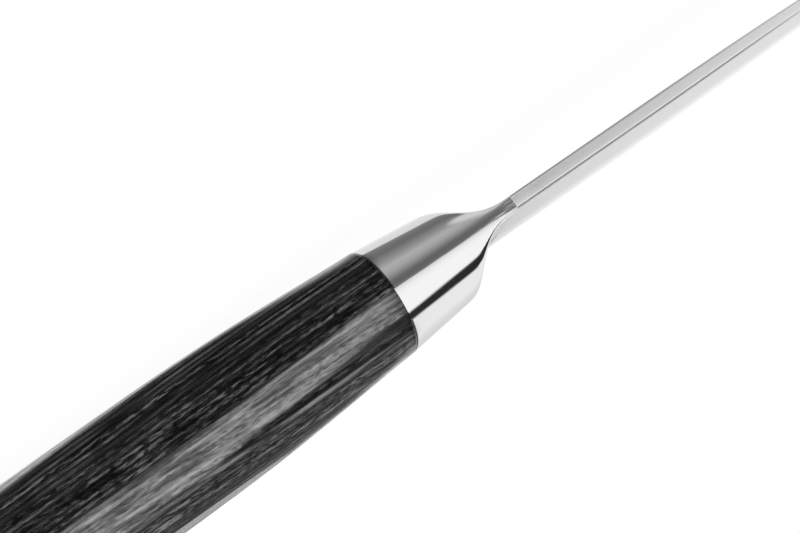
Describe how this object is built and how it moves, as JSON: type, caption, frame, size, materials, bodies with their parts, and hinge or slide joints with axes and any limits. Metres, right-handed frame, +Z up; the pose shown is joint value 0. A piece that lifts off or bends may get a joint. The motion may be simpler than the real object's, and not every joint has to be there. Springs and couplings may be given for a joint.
{
  "type": "paring knife",
  "caption": "Small kitchen knife: a short pointed blade, a polished bolster that draws in to the blade, and a dark laminated wood handle with a steel end cap.",
  "frame": {"origin": "bottom centre of the bounding box, with the knife lying on its left side", "axes": "+X towards the tip, +Y towards the spine, +Z up out of the blade's right side"},
  "size_m": [0.2152, 0.0282, 0.0177],
  "materials": {
    "blade_steel": "fine satin, ground along the blade",
    "polished_steel": "polished",
    "tang_steel": "as rolled",
    "handle_wood": "dyed and resin-bonded veneers, satin",
    "bedding_resin": "cast resin",
    "fastener_steel": "plain"
  },
  "bodies": {
    "root": {"blade": "blade_steel", "bolster": "polished_steel", "tang": "tang_steel", "handle": "handle_wood", "tang_bedding": "bedding_resin", "tang_washer": "fastener_steel", "tang_nut": "fastener_steel", "end_cap": "polished_steel"}
  },
  "joints": []
}
